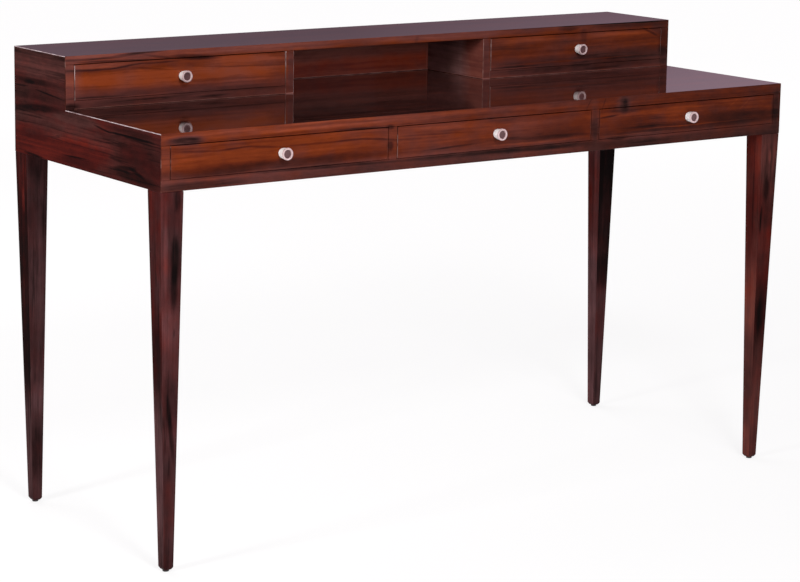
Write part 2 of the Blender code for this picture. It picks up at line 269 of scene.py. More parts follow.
def grain_place(tree, grain):
    """The desk's coordinates with the grain first, then across the grain, then into the board."""
    place = add_node(tree, "ShaderNodeTexCoord").outputs["Object"]
    parts = add_node(tree, "ShaderNodeSeparateXYZ", {0: place})
    ordered = [parts.outputs[axis] for axis in GRAIN_ORDER[grain]]
    return add_node(tree, "ShaderNodeCombineXYZ", dict(enumerate(ordered))).outputs[0]


def stretched(tree, place, along, across, seed, detail=3.0, output="Fac"):
    """Noise drawn out along the grain. The two numbers are how often it changes in a metre."""
    drawn = add_node(
        tree,
        "ShaderNodeMapping",
        {"Vector": place, "Location": (seed, seed * 0.7, seed * 1.3), "Scale": (along, across, across)},
    )
    noise = add_node(
        tree, "ShaderNodeTexNoise", {"Vector": drawn.outputs[0], "Scale": 1.0, "Detail": detail}
    )
    return noise.outputs[output]


print("grain runs", ", ".join(GRAIN_ORDER))

# %% [markdown]
# Growth lines are never straight. A slow noise and two quicker ones push the coordinates sideways by a
# few millimetres before anything is drawn with them, so bands and lines bend together, as they do in a
# real log.

# %% Wandering grain
# How often each push changes along and across the grain in a metre, and its share of the sway.
PUSHES = ((2.2, 7.0, 1.0), (11.0, 30.0, 0.22), (40.0, 130.0, 0.07))
MIDDLE_GREY = (0.5, 0.5, 0.5)


def vector_sums(tree, operation, first, second):
    """One step of arithmetic between two sets of coordinates."""
    return add_node(tree, "ShaderNodeVectorMath", {0: first, 1: second}, operation=operation).outputs[0]


def wander(tree, place, seed, sway):
    """The grain coordinates, pushed across the grain."""
    for along, across, share in PUSHES:
        push = stretched(tree, place, along, across, seed, 2.0, "Color")
        centred = vector_sums(tree, "SUBTRACT", push, MIDDLE_GREY)
        reach = (0.0, sway * share, sway * share)
        place = vector_sums(tree, "ADD", place, vector_sums(tree, "MULTIPLY", centred, reach))
    return place


print("wander ready")

# %% [markdown]
# Eyes, flames and single dark lines are what make one board different from the next. Each is a soft
# ellipse in the grain coordinates: a Mapping node of the Texture kind moves, turns and shrinks it to a
# unit ball, and a spherical gradient fades from its middle to its rim. A negative amount darkens the
# wood, a positive one lets the orange through. A mark is written in millimetres and in percent of the
# tone. Some have a tilt in degrees as well.

# %% Figure marks
MARK_DEPTH = 50.0
MARK_CORE = 0.7


def figure(tree, place, marks):
    """The sum of some soft ellipses: along, across, half length, half height, amount and perhaps tilt."""
    total = 0.0
    for along, across, length, height, percent, *tilt in marks:
        turn = math.radians(tilt[0]) if tilt else 0.0
        local = add_node(
            tree,
            "ShaderNodeMapping",
            {
                "Vector": place,
                "Location": (along / 1000, across / 1000, 0.0),
                "Rotation": (0.0, 0.0, turn),
                "Scale": (length / 1000, height / 1000, MARK_DEPTH),
            },
            vector_type="TEXTURE",
        )
        ball = add_node(
            tree, "ShaderNodeTexGradient", {"Vector": local.outputs[0]}, gradient_type="SPHERICAL"
        )
        soft = remap(tree, ball.outputs["Fac"], (0.0, MARK_CORE), (0.0, percent / 100), smooth=True)
        total = sums(tree, "ADD", soft, total)
    return total


print("figure marks ready")

# %% [markdown]
# The wood's colour is one number, the tone, sent through a row of colours from black heartwood to the
# palest band. Old lacquer isn't clear all over, so each finish has two rows, a rich one and a dull one,
# and a second number, the haze, mixes them. The fronts are warm, the sides and legs crimson, and the
# other rows are hazier.

# %% Colours of the wood
WARM_COLOURS = (
    (0.00, (0.0048, 0.0024, 0.0024)),
    (0.16, (0.0177, 0.0043, 0.0031)),
    (0.34, (0.0419, 0.0079, 0.0040)),
    (0.50, (0.0725, 0.0121, 0.0045)),
    (0.66, (0.1087, 0.0179, 0.0050)),
    (0.82, (0.1489, 0.0259, 0.0063)),
    (1.00, (0.2214, 0.0403, 0.0109)),
)
CRIMSON_COLOURS = (
    (0.00, (0.0048, 0.0024, 0.0024)),
    (0.16, (0.0177, 0.0036, 0.0034)),
    (0.34, (0.0419, 0.0060, 0.0050)),
    (0.50, (0.0725, 0.0089, 0.0064)),
    (0.66, (0.1087, 0.0117, 0.0068)),
    (0.82, (0.1489, 0.0161, 0.0072)),
    (1.00, (0.2093, 0.0274, 0.0097)),
)
SMOKY_COLOURS = (
    (0.00, (0.0064, 0.0032, 0.0032)),
    (0.16, (0.0193, 0.0068, 0.0058)),
    (0.34, (0.0443, 0.0157, 0.0138)),
    (0.50, (0.0725, 0.0233, 0.0201)),
    (0.66, (0.1047, 0.0306, 0.0250)),
    (0.82, (0.1409, 0.0386, 0.0290)),
    (1.00, (0.1892, 0.0547, 0.0403)),
)
GREY_COLOURS = (
    (0.00, (0.0080, 0.0048, 0.0048)),
    (0.50, (0.0805, 0.0370, 0.0346)),
    (1.00, (0.2415, 0.1111, 0.1030)),
)
# A grey row for the legs: a painted sheen of the floor mirrored in their lacquer.
FLOOR_SHEEN_COLOURS = (
    (0.00, (0.0064, 0.0040, 0.0040)),
    (0.16, (0.0193, 0.0089, 0.0089)),
    (0.34, (0.0443, 0.0201, 0.0205)),
    (0.50, (0.0725, 0.0326, 0.0338)),
    (0.66, (0.1047, 0.0467, 0.0487)),
    (1.00, (0.1892, 0.0837, 0.0869)),
)
print("colour rows from", WARM_COLOURS[0][1], "to", WARM_COLOURS[-1][1])

# %% [markdown]
# Broad bands, streaks, black lines, pores and the figure marks all push the tone up or down. The lacquer
# is the Principled shader's own gloss: its refraction and roughness set how much of the room it mirrors.
# It is set low on upright faces, which would mirror the white floor. The pores also go to the bump.

# %% Rosewood
# How often each noise changes along and across the grain in a metre, its seed and its detail.
VENEER_NOISES = {
    "bands": (1.5, 36.0, 3.0, 2.0),
    "streaks": (5.0, 190.0, 7.0, 4.0),
    "mottle": (22.0, 30.0, 9.0, 3.0),
    "flecks": (45.0, 110.0, 5.0, 2.0),
    "lines": (1.6, 70.0, 11.0, 2.0),
    "breaks": (7.0, 24.0, 15.0, 2.0),
    "pores": (60.0, 2200.0, 13.0, 1.0),
}
TONE_SHARES = {"bands": 0.60, "streaks": 0.50, "mottle": 0.28, "flecks": 0.26}
LINE_WIDTH = 0.035
LINE_BREAKS = (0.44, 0.60)
PORE_EDGE = (0.34, 0.46)
PORE_TONES = (-0.07, 0.0)
PORE_RELIEF = 0.05
RAGGED_STREAKS = (0.25, 0.75)
RAGGED_MARKS = (0.5, 1.5)
RUBBED_STREAKS = (0.3, 0.7)
RUBBED_GLOSS = (0.7, 1.4)
HAZE_DRIFT = 1.2
RELIEF = 0.0002


def new_finish(name):
    """A plain finish to build on: its material, its node tree and its Principled shader."""
    material = bpy.data.materials.new(name)
    material.use_nodes = True
    return material, material.node_tree, material.node_tree.nodes["Principled BSDF"]


def fine_relief(tree, shader, height, strength):
    """Lets a value raise and sink the surface by a fraction of a millimetre."""
    bump = add_node(tree, "ShaderNodeBump", {"Height": height, "Strength": strength, "Distance": RELIEF})
    tree.links.new(bump.outputs[0], shader.inputs["Normal"])


def rosewood(
    name,
    grain,
    tone,
    smoke,
    marks=(),
    haze_marks=(),
    fade=0.0,
    seed=0.0,
    sway=0.014,
    rich=WARM_COLOURS,
    dull=SMOKY_COLOURS,
    black=0.26,
    contrast=1.0,
    refraction=1.10,
    gloss=0.09,
):
    """Lacquered rosewood veneer, from its tone and from how smoky it is."""
    material, tree, shader = new_finish(name)
    place = wander(tree, grain_place(tree, grain), seed, sway)
    noise = {
        part: stretched(tree, place, along, across, seed + shift, detail)
        for part, (along, across, shift, detail) in VENEER_NOISES.items()
    }
    length = add_node(tree, "ShaderNodeSeparateXYZ", {0: place}).outputs["X"]
    level = sums(tree, "ADD", sums(tree, "MULTIPLY", length, fade), tone)
    for part, share in TONE_SHARES.items():
        spread = sums(tree, "MULTIPLY", sums(tree, "SUBTRACT", noise[part], 0.5), share * contrast)
        level = sums(tree, "ADD", spread, level)
    ridge = sums(tree, "ABSOLUTE", sums(tree, "SUBTRACT", noise["lines"], 0.5), 0.0)
    line = remap(tree, ridge, (0.0, LINE_WIDTH), (-black, 0.0), smooth=True)
    strong = remap(tree, noise["breaks"], LINE_BREAKS)
    level = sums(tree, "ADD", level, sums(tree, "MULTIPLY", line, strong))
    ragged = remap(tree, noise["streaks"], RAGGED_STREAKS, RAGGED_MARKS)
    level = sums(tree, "ADD", level, sums(tree, "MULTIPLY", figure(tree, place, marks), ragged))
    pore = remap(tree, noise["pores"], PORE_EDGE, PORE_TONES)
    level = sums(tree, "ADD", level, pore, clamp=True)
    drift = sums(tree, "MULTIPLY", sums(tree, "SUBTRACT", noise["breaks"], noise["mottle"]), HAZE_DRIFT)
    haze = sums(tree, "ADD", sums(tree, "ADD", drift, smoke), figure(tree, place, haze_marks), clamp=True)
    both = add_node(
        tree,
        "ShaderNodeMix",
        {0: haze, 6: colour_row(tree, level, rich), 7: colour_row(tree, level, dull)},
        data_type="RGBA",
    )
    tree.links.new(both.outputs[2], shader.inputs["Base Color"])
    shader.inputs["IOR"].default_value = refraction
    rub = remap(tree, noise["streaks"], RUBBED_STREAKS, [gloss * share for share in RUBBED_GLOSS])
    tree.links.new(rub, shader.inputs["Roughness"])
    fine_relief(tree, shader, pore, PORE_RELIEF)
    return material


print("rosewood from", len(VENEER_NOISES), "noises")

# %% [markdown]
# One leaf of veneer was laid over the whole front before the drawers were cut, so its figure runs on from
# a slab's edge through the drawers to the board below. One material therefore serves every front edge and
# drawer of the hutch. Its marks are the features that stand out: the black lens over the left drawer, the
# thin lines at the left end, the orange glow in the drawers and their darker lower third.

# %% Hutch front
HUTCH_MARKS = (
    (-670, 845.6, 70, 3, -34, 0.5), (-600, 847.6, 70, 3.2, -42, 3.2), (-545, 852.5, 70, 3, -42, 2),
    (-590, 840.4, 130, 2.6, -36, -0.6), (-438, 839.8, 68, 7, -46, -2.6), (-510, 844, 50, 3, -26, -9),
    (-650, 827.8, 85, 2.6, -38), (-572, 831.2, 50, 2.6, -36, 5.5), (-510, 833.8, 60, 2.4, -28, 1),
    (-620, 834, 110, 6, 20), (-630, 850, 120, 6, 12), (-530, 824, 60, 2.6, -18, -5),
    (-320, 817, 130, 2.6, -20, -2.2), (-320, 829, 130, 12, 30), (-330, 808, 130, 13, 20),
    (-330, 849, 140, 9, 8), (-490, 809, 300, 24, 22), (-330, 788, 110, 8, 20), (-580, 769, 160, 9, -10),
    (-470, 772, 420, 26, -26), (-640, 781.2, 75, 2.4, -26), (-530, 779, 160, 1.8, 14, 1),
    (-500, 772, 160, 2.2, -22, 1), (-400, 767, 50, 4, -22), (-310, 774, 110, 4, -16, -1),
    (-690, 767, 26, 9, -40), (0, 850, 600, 14, 14), (60, 845, 14, 6, -12, 70),
    (470, 854, 340, 3.6, -48, -0.3), (600, 849, 160, 9, -28), (330, 848, 110, 8, -16),
    (436, 848, 36, 8, -34), (475, 832, 12, 20, -16), (330, 828, 110, 11, 14), (560, 829, 120, 14, 22),
    (650, 831, 34, 3.4, -28, -24), (675, 836, 30, 16, -18), (290, 815, 100, 3, -16, -1),
    (600, 789, 170, 19, -25), (400, 788, 260, 14, -22), (350, 786, 160, 8, -8),
    (460, 783.8, 280, 1.8, 14), (300, 779.5, 90, 2.6, -24), (-227.5, 808, 10, 46, -16),
    (227.5, 808, 10, 46, -4), (620, 781, 110, 4, -20), (480, 770, 320, 14, -30),
    (330, 769, 120, 10, -6), (530, 764, 60, 4, -16), (690, 800, 22, 60, -24),
)
HUTCH_HAZE = (
    (0, 768, 2000, 40, 75), (-250, 854, 1000, 16, 60), (-630, 846, 150, 16, 50),
    (-300, 848, 200, 10, 30), (150, 848, 250, 10, 40), (350, 848, 250, 10, 20), (-690, 815, 36, 60, 70),
    (-620, 832, 120, 8, 30), (460, 783.5, 280, 4, -40), (-330, 820, 150, 24, 22),
    (330, 830, 120, 12, 22), (570, 820, 120, 20, -16), (675, 836, 30, 16, 40),
    (-227.5, 808, 12, 50, 80), (227.5, 808, 12, 50, 90),
)
hutch_veneer = rosewood(
    "hutch_veneer",
    "along_x",
    tone=0.72,
    smoke=0.16,
    marks=HUTCH_MARKS,
    haze_marks=HUTCH_HAZE,
    fade=-0.12,
    seed=1.0,
    black=0.14,
    contrast=0.85,
)
print("hutch front with", len(HUTCH_MARKS), "marks")

# %% [markdown]
# The front of the case is made in the same way. Here the dark eye at the left end of the slab, a long
# wavy line through the left drawer, a knot over the right drawer and the dull bottom rail stand out.

# %% Case front
CASE_MARKS = (
    (-653, 747, 46, 10.5, -52), (-660, 746.2, 34, 6.8, 18), (-360, 753.5, 420, 12, 26),
    (-330, 733, 130, 8, 10), (-660, 755, 70, 6, 8), (80, 752, 200, 10, 10),
    (-300, 739.2, 80, 3, -34, -0.6), (-635, 727.7, 60, 2.8, -22, -2.4), (-560, 727, 45, 2.6, -20, 2.4),
    (-495, 725, 50, 2.8, -24, -5), (-405, 721.6, 80, 2.8, -24, -0.6), (-325, 721.4, 50, 2.8, -24, 1),
    (-260, 719, 60, 2.6, -24, -3.6), (-130, 733, 110, 9, 14), (-130, 720, 120, 2.4, -16, -1.2),
    (-130, 710, 120, 11, 8), (-500, 712, 280, 15, 5), (-460, 690.5, 320, 14, -30),
    (-600, 686, 120, 8, -14), (-500, 684.5, 120, 2.4, 14), (-360, 679, 200, 4.6, -30, -1),
    (-620, 670, 140, 11, -26), (-580, 678, 120, 2.4, 12), (-340, 668, 200, 10, -10),
    (-90, 694.5, 90, 2.6, -20, 2), (-130, 691, 120, 6, -6), (120, 696.5, 130, 5, -20, -1.2),
    (80, 689, 160, 3.4, 14), (-100, 678.5, 190, 6, -22), (90, 678, 180, 7.4, -22, 0.4),
    (0, 668, 2000, 19, -18), (90, 668, 170, 9, 16), (-236, 738.5, 12, 6, -30), (-236, 706, 10, 13, -30),
    (160, 715, 110, 30, -13), (229, 710, 14, 40, -24), (300, 743, 16, 24, -22), (302, 745, 7, 13, -16),
    (215, 752, 22, 2, -16, 60), (250, 748, 24, 2, -16, 70), (260, 723.5, 36, 2.4, -30, 4),
    (330, 708, 90, 18, -16), (330, 734, 110, 8, -12), (340, 692, 140, 12, -12),
    (330, 670, 160, 12, -10), (450, 725, 90, 18, 16), (600, 733, 110, 9, 14),
    (575, 729, 30, 1.4, 12, 35), (605, 725, 30, 1.4, 12, 40), (595, 702, 170, 18, -24, -1),
    (400, 697.5, 130, 3.4, -18, -1), (460, 694, 240, 1.8, 18, 0.3), (480, 690, 240, 7, -14),
    (600, 689, 140, 11, -10), (340, 686.8, 130, 1.6, 18), (285, 682, 40, 6, -22),
    (688, 710, 16, 50, -24),
)
CASE_HAZE = (
    (0, 666, 2000, 36, 75), (-200, 756, 800, 14, 36), (-50, 720, 280, 40, 26), (-653, 747, 50, 12, 80),
    (-560, 716, 150, 34, -20), (-330, 742, 180, 18, 20), (-330, 690, 150, 8, -25),
    (450, 670, 500, 14, -20), (130, 735, 150, 20, 18), (-692, 710, 20, 60, 30), (297, 745, 24, 24, 60),
    (340, 696, 120, 10, -16), (229, 715, 16, 50, 60), (688, 715, 18, 50, 40),
)
case_veneer = rosewood(
    "case_veneer",
    "along_x",
    tone=0.62,
    smoke=0.04,
    marks=CASE_MARKS,
    haze_marks=CASE_HAZE,
    fade=-0.22,
    seed=2.0,
    black=0.12,
    contrast=0.85,
)
print("case front with", len(CASE_MARKS), "marks")

# %% [markdown]
# The two sides are darker and redder. Their grain runs from front to back across the case and the hutch
# together, with a dark band half way up the hutch, a red glow low at the back and a black lens low at the
# front.

# %% Side veneer
SIDE_MARKS = (
    (180, 832, 220, 30, 5), (179, 799, 160, 7.5, -20, 0.5), (215, 796.5, 30, 6, -14),
    (249, 788.1, 40, 2, -22, -1), (136, 781.2, 75, 1.8, -26, 4.1), (180, 778, 200, 12, -13),
    (200, 751, 150, 10, -30, -3.9), (120, 799, 60, 8, 8), (200, 705, 90, 12, -10),
    (200, 680, 160, 22, 14), (40, 750, 90, 9, -6), (40, 676, 100, 9, -12), (-170, 750, 120, 9, -18),
    (20, 718, 140, 28, 12), (-170, 728, 110, 10, 8), (-56, 745, 40, 2.4, -28, 7),
    (-165, 742.2, 120, 3, -32), (-190, 705, 120, 50, -16), (-130, 684.5, 60, 6, -20, -6),
    (-175, 683, 34, 5, -20, 12), (40, 681.8, 60, 2, -24, -0.7), (199, 664, 50, 4, -30),
    (-160, 674, 130, 10, -18, 2),
)
SIDE_HAZE = (
    (180, 835, 300, 40, 75), (150, 782, 300, 30, 35), (200, 735, 200, 20, 40), (40, 749, 120, 14, 110),
    (40, 730, 120, 14, 30), (180, 680, 260, 30, -120), (30, 692, 140, 30, -60),
)
side_veneer = rosewood(
    "side_veneer",
    "along_y",
    tone=0.375,
    smoke=0.30,
    marks=SIDE_MARKS,
    haze_marks=SIDE_HAZE,
    seed=5.0,
    rich=CRIMSON_COLOURS,
    black=0.18,
    contrast=0.7,
    refraction=1.03,
)
print("side veneer with", len(SIDE_MARKS), "marks")

# %% [markdown]
# The tops are rubbed to a mirror polish. At the low angle of the camera they show the room, the hutch and
# its knobs, so the finish keeps a full lacquer refraction and very little roughness over a dark wood.

# %% Polished tops
MIRROR_POLISH = {"seed": 9.0, "sway": 0.03, "refraction": 1.5, "gloss": 0.035}
desk_polish = rosewood("desk_polish", "flat", tone=0.39, smoke=0.90, fade=0.26, **MIRROR_POLISH)
hutch_polish = rosewood("hutch_polish", "flat", tone=0.41, smoke=0.90, **MIRROR_POLISH)
print("tops polished to a roughness of", MIRROR_POLISH["gloss"])

# %% [markdown]
# Little light reaches the niche, so its wood is written paler than it looks there. The back panel is duller
# in its upper half and redder along its foot: painted shade and reflection under the hutch top, and painted
# light below it. A pale painted highlight line runs down its right corner. The dividers beside it turn from
# brown at the front to a darker grey at the back, which is painted shade.

# %% Niche wood
# Painted light and shade on the back panel: a duller upper band, a redder foot and a highlight line in the
# right corner.
NICHE_LIGHT_AND_SHADE_MARKS = ((0, 786, 400, 24, 10), (-20, 780, 120, 10, -14), (219.5, 800, 1.6, 60, 30))
NICHE_LIGHT_AND_SHADE_HAZE = ((0, 850, 900, 76, 100), (0, 778, 900, 24, -40), (219.5, 800, 1.6, 60, 80))
inner_wood = rosewood(
    "inner_wood",
    "along_x",
    tone=0.90,
    smoke=0.74,
    marks=NICHE_LIGHT_AND_SHADE_MARKS,
    haze_marks=NICHE_LIGHT_AND_SHADE_HAZE,
    seed=17.0,
    rich=CRIMSON_COLOURS,
    black=0.12,
    refraction=1.3,
)
# Painted shade: the back part of each divider's flank is darker and greyer than its front.
FLANK_SHADE_MARKS = ((230, 800, 110, 500, -12),)
FLANK_SHADE_HAZE = ((65, 800, 115, 500, 200),)
inner_side = rosewood(
    "inner_side",
    "along_y",
    tone=0.93,
    smoke=-0.55,
    marks=FLANK_SHADE_MARKS,
    haze_marks=FLANK_SHADE_HAZE,
    seed=19.0,
    rich=GREY_COLOURS,
    black=0.12,
    refraction=1.3,
)
print("niche wood ready")

# %% [markdown]
# The rounded arrises, the edges of a board, shine in the lamps as thin pinkish lines. These are painted
# highlights: the narrow faces of the edge bevels take a pale colour. Noise along the edge breaks the line
# up. The fainter and brighter kinds go to the edges that show less or more of it.

# %% Painted edge highlights
HIGHLIGHT_PATCHES = (0.34, 0.62)
HIGHLIGHT_ROUGHNESS = (0.3, 0.15)


def even_noise(tree, scale, detail):
    """Noise that has no grain, over the desk's own coordinates."""
    place = add_node(tree, "ShaderNodeTexCoord").outputs["Object"]
    noise = add_node(tree, "ShaderNodeTexNoise", {"Vector": place, "Scale": scale, "Detail": detail})
    return noise.outputs["Fac"]


def painted_highlight(name, colours, refraction=1.5):
    """Pale, broken edge line: a painted highlight."""
    material, tree, shader = new_finish(name)
    shader.inputs["IOR"].default_value = refraction
    patch = even_noise(tree, scale=45.0, detail=3.0)
    tone = remap(tree, patch, HIGHLIGHT_PATCHES)
    tree.links.new(colour_row(tree, tone, colours), shader.inputs["Base Color"])
    rub = remap(tree, patch, new=HIGHLIGHT_ROUGHNESS)
    tree.links.new(rub, shader.inputs["Roughness"])
    return material


edge_highlight_paint = painted_highlight(
    "painted_highlight",
    ((0.0, (0.0966, 0.0362, 0.0282)), (0.5, (0.2415, 0.1288, 0.1127)), (1.0, (0.4669, 0.3381, 0.3220))),
)
faint_highlight_paint = painted_highlight(
    "faint_highlight_paint",
    ((0.0, (0.0403, 0.0097, 0.0064)), (0.7, (0.0805, 0.0258, 0.0193)), (1.0, (0.1932, 0.1047, 0.0886))),
    refraction=1.12,
)
soft_highlight_strip = painted_highlight(
    "soft_highlight_strip",
    ((0.0, (0.1530, 0.0547, 0.0435)), (0.5, (0.1771, 0.0684, 0.0547)), (1.0, (0.2334, 0.1047, 0.0886))),
)
bright_highlight_strip = painted_highlight(
    "bright_highlight_strip",
    ((0.0, (0.2093, 0.0741, 0.0612)), (0.5, (0.2576, 0.1006, 0.0837)), (1.0, (0.3220, 0.1409, 0.1207))),
)
top_highlight_paint = painted_highlight(
    "top_highlight_paint",
    ((0.0, (0.1932, 0.1127, 0.1127)), (0.5, (0.3542, 0.2576, 0.2657)), (1.0, (0.4991, 0.4025, 0.4106))),
)
print("worn arris ready")

# %% [markdown]
# A board starts as a cube that is scaled and moved into the CAD board's own box. Its edges are then rounded
# with a small bevel. Painting goes by the way a face points: upward faces can take the polished finish, and
# the narrow faces that the bevel left on the upright edges take a painted highlight.

# %% Boards
ARRIS = 0.0008
ARRIS_STEPS = 3
SHARP_ANGLE = math.radians(40.0)
PARALLEL = 0.99
SQUARE_ON = 0.98
SLANTED = 0.1


def blank(low, high):
    """A cube that fills the box between two corners."""
    shape = bmesh.new()
    bmesh.ops.create_cube(shape, size=1.0)
    bmesh.ops.scale(shape, vec=Vector(high) - Vector(low), verts=shape.verts)
    bmesh.ops.translate(shape, vec=(Vector(low) + Vector(high)) / 2, verts=shape.verts)
    return shape


def runs_along(edge, axis):
    """True for an edge that lies along one axis: 0, 1 or 2 for X, Y or Z."""
    run = (edge.verts[1].co - edge.verts[0].co).normalized()
    return abs(run[axis]) > PARALLEL


def round_edges(shape, axes, width=ARRIS):
    """Rounds every edge that runs along one of the given axes."""
    edges = [edge for edge in shape.edges if any(runs_along(edge, axis) for axis in axes)]
    bmesh.ops.bevel(
        shape,
        geom=edges,
        offset=width,
        offset_type="OFFSET",
        affect="EDGES",
        segments=ARRIS_STEPS,
        profile=0.5,
        material=-1,
    )


def paint_board(shape, up=0, upright=0, foot=0, flank=0):
    """Picks a finish by the way a face points: up, to a side, or on a rounded upright or lower edge."""
    shape.normal_update()
    for face in shape.faces:
        facing = face.normal
        if facing.z > SQUARE_ON:
            face.material_index = up
        elif abs(facing.x) > SQUARE_ON:
            face.material_index = flank
        elif abs(facing.z) < SLANTED and min(abs(facing.x), abs(facing.y)) > SLANTED:
            face.material_index = upright
        elif -SQUARE_ON < facing.z < -SLANTED:
            face.material_index = foot


def finished(shape, name, node, finishes, body="desk"):
    """Turns a shape into a piece that rides on a body and takes the place of a CAD node."""
    for edge in shape.edges:
        edge.smooth = edge.calc_face_angle(0.0) < SHARP_ANGLE
    mesh = bpy.data.meshes.new(name)
    shape.to_mesh(mesh)
    shape.free()
    for finish in finishes:
        mesh.materials.append(finish)
    for face in mesh.polygons:
        face.use_smooth = True
    piece = bpy.data.objects.new(name, mesh)
    bpy.context.scene.collection.objects.link(piece)
    even = piece.modifiers.new("even_shading", "WEIGHTED_NORMAL")
    even.keep_sharp = True
    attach(piece, body)
    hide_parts(node)


print("board tools ready")

# %% [markdown]
# The desk top, the case bottom and the hutch top are slabs that run the full width. Their ends stop
# against the side veneer with no rounding, so no groove shows there. Only the long edges are rounded. The
# upper faces of the two tops are polished, and the front edges belong to the front veneer.

# %% Slabs
def slab(node, name, veneer, upper_finish):
    """A full-width board, carried out to the inner face of the side veneer."""
    low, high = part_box(node)
    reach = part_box("side_veneer_right")[0].x
    low.x = -reach
    high.x = reach
    shape = blank(low, high)
    round_edges(shape, (0,))
    paint_board(shape, up=1)
    finished(shape, name, node, [veneer, upper_finish])
    print(name, [round(value, 3) for value in high - low])


slab("desk_top", "desk_top_slab", case_veneer, desk_polish)
slab("hutch_top", "hutch_top_slab", hutch_veneer, hutch_polish)
slab("case_bottom", "case_bottom_slab", case_veneer, case_veneer)

# %% [markdown]
# The uprights are the sides behind the veneer and the dividers. Their front edges show between the drawers
# as narrow stiles, with a painted highlight line down each corner of the hutch dividers. The floors of the
# hutch drawers and the two back panels are plain boards. Where a board of the hutch meets the desk top, a
# pale line is painted as a highlight: a cut just above its foot gives a strip that takes a finish of its
# own.

# %% Uprights, floors and backs
FLOOR_STRIP = 0.0011
DIVIDER_STRIP = 0.0014
BACK_STRIP = 0.0013


def cut_across(shape, place, facing):
    """Cuts the faces that a plane crosses, so that its two sides can be painted differently."""
    bmesh.ops.bisect_plane(
        shape,
        geom=shape.verts[:] + shape.edges[:] + shape.faces[:],
        plane_co=place,
        plane_no=facing,
    )


def foot_strip(shape, height, finish):
    """Cuts a narrow strip along the foot of a board and gives it a finish of its own."""
    level = min(vert.co.z for vert in shape.verts) + height
    cut_across(shape, (0.0, 0.0, level), (0.0, 0.0, 1.0))
    for face in shape.faces:
        if face.calc_center_median().z < level:
            face.material_index = finish


def plain_board(node, axes, finishes, strip=0.0, **paint):
    """A board in the CAD board's own box, with a painted highlight strip along its foot where one is asked
    for.
    """
    shape = blank(*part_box(node))
    round_edges(shape, axes)
    paint_board(shape, **paint)
    if strip:
        foot_strip(shape, strip, paint["foot"])
    finished(shape, f"{node}_board", node, finishes)


for end in ("left", "right"):
    plain_board(f"case_side_{end}", (2,), [case_veneer])
    plain_board(f"case_divider_{end}", (2,), [case_veneer])
    plain_board(f"hutch_side_{end}", (2,), [hutch_veneer])
    plain_board(f"hutch_floor_{end}", (0,), [hutch_veneer, soft_highlight_strip], FLOOR_STRIP, foot=1)
divider_finishes = [hutch_veneer, edge_highlight_paint, inner_side, bright_highlight_strip]
for end in ("left", "right"):
    plain_board(f"hutch_divider_{end}", (1, 2), divider_finishes, DIVIDER_STRIP, upright=1, flank=2, foot=3)
plain_board("case_back", (0,), [inner_wood])
plain_board("hutch_back", (0,), [inner_wood, bright_highlight_strip], BACK_STRIP, foot=1)
print("uprights, floors and backs ready")

# %% [markdown]
# Each side wears one leaf of veneer in the shape of an L, tall at the back over the hutch. Six points give
# its outline, a face fills them, and extruding the face by a millimetre gives the leaf. Its upper edges, and
# a strip just below them on the left, are painted pale as the highlight lines along the tops.

# %% Side leaves
PALE_STRIP = 0.0012
MOSTLY = 0.5


def side_leaf(end):
    """The L-shaped leaf over one side of the case and hutch."""
    low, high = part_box(f"side_veneer_{end}")
    step_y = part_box("hutch_top")[0].y
    step_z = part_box("desk_top")[1].z
    outline = (
        (low.y, low.z),
        (high.y, low.z),
        (high.y, high.z),
        (step_y, high.z),
        (step_y, step_z),
        (low.y, step_z),
    )
    shape = bmesh.new()
    corners = [shape.verts.new((low.x, y, z)) for y, z in outline]
    face = shape.faces.new(corners)
    grown = bmesh.ops.extrude_face_region(shape, geom=[face])
    moved = [part for part in grown["geom"] if isinstance(part, bmesh.types.BMVert)]
    bmesh.ops.translate(shape, vec=(high.x - low.x, 0.0, 0.0), verts=moved)
    bmesh.ops.recalc_face_normals(shape, faces=shape.faces)
    cut_across(shape, (0.0, 0.0, step_z - PALE_STRIP), (0.0, 0.0, 1.0))
    cut_across(shape, (0.0, 0.0, high.z - PALE_STRIP), (0.0, 0.0, 1.0))
    cut_across(shape, (0.0, step_y, 0.0), (0.0, 1.0, 0.0))
    shape.normal_update()
    for face in shape.faces:
        middle = face.calc_center_median()
        on_top = middle.z > high.z - PALE_STRIP or (middle.y < step_y and middle.z > step_z - PALE_STRIP)
        if face.normal.z > MOSTLY or (on_top and face.normal.x < -MOSTLY):
            face.material_index = 2
        elif abs(face.normal.x) < MOSTLY and face.normal.z > -MOSTLY:
            face.material_index = 1
    finished(shape, f"side_leaf_{end}", f"side_veneer_{end}", [side_veneer, faint_highlight_paint, top_highlight_paint])
    print("side leaf", end)


side_leaf("left")
side_leaf("right")

# %% [markdown]
# Each leg is its own piece of wood, so each has its own marks, and different ones on the faces that look
# to the front and on those that look to the side. The dark flames in the two front legs stand out most.

